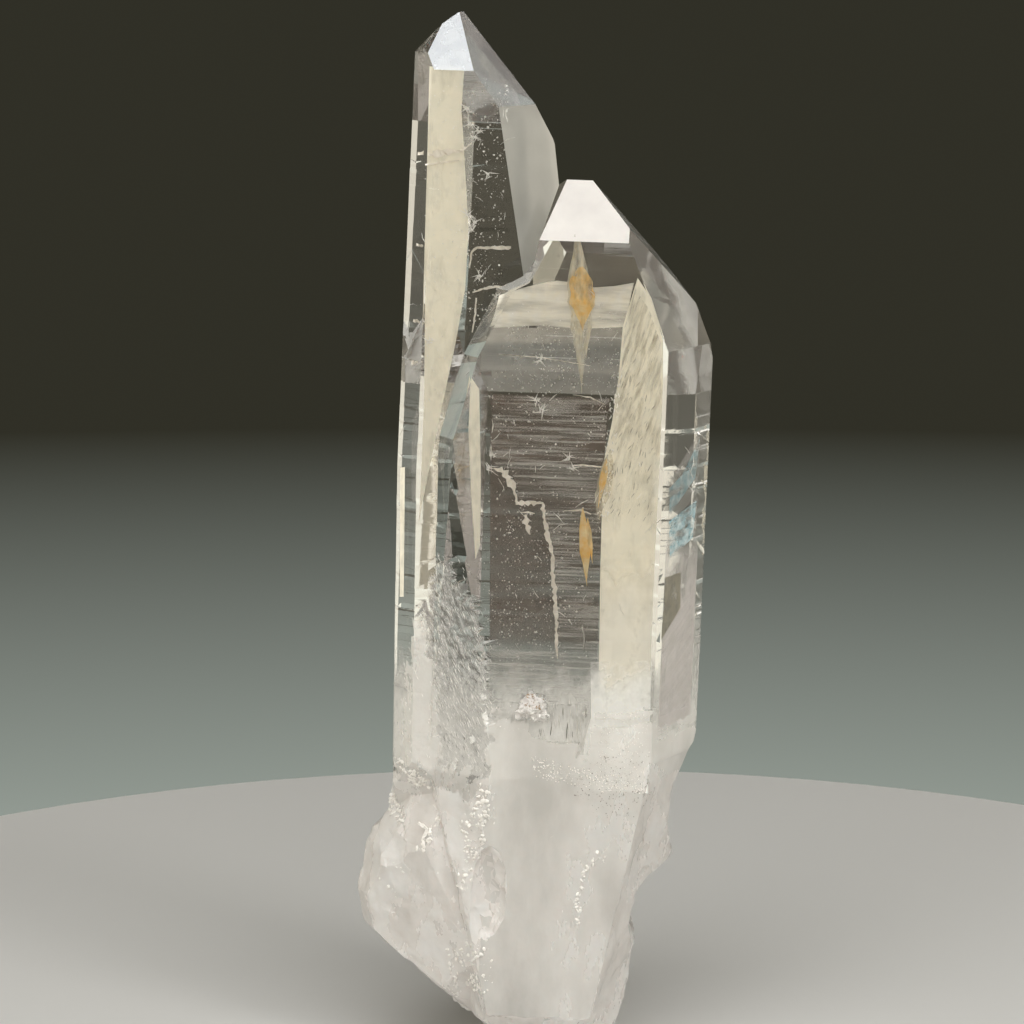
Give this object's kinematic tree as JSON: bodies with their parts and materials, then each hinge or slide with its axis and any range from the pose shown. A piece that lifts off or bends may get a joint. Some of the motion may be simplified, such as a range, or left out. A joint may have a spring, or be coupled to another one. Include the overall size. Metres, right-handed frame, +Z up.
{
  "type": "lemurian quartz crystal cluster",
  "caption": "Cluster of laddered quartz crystals: a tall slim point beside a broad one, grown together on a broken milky root, standing upright.",
  "frame": {"origin": "near the middle of the flat broken foot that the stone stands on", "axes": "+Z up along the crystals, -Y out of the broad crystal's widest face, +X to the right of that face"},
  "size_m": [0.0547, 0.0349, 0.1608],
  "materials": {
    "clear_quartz": "natural crystal faces, milky and broken towards the foot"
  },
  "bodies": {
    "root": {"quartz_cluster": "clear_quartz"}
  },
  "joints": []
}
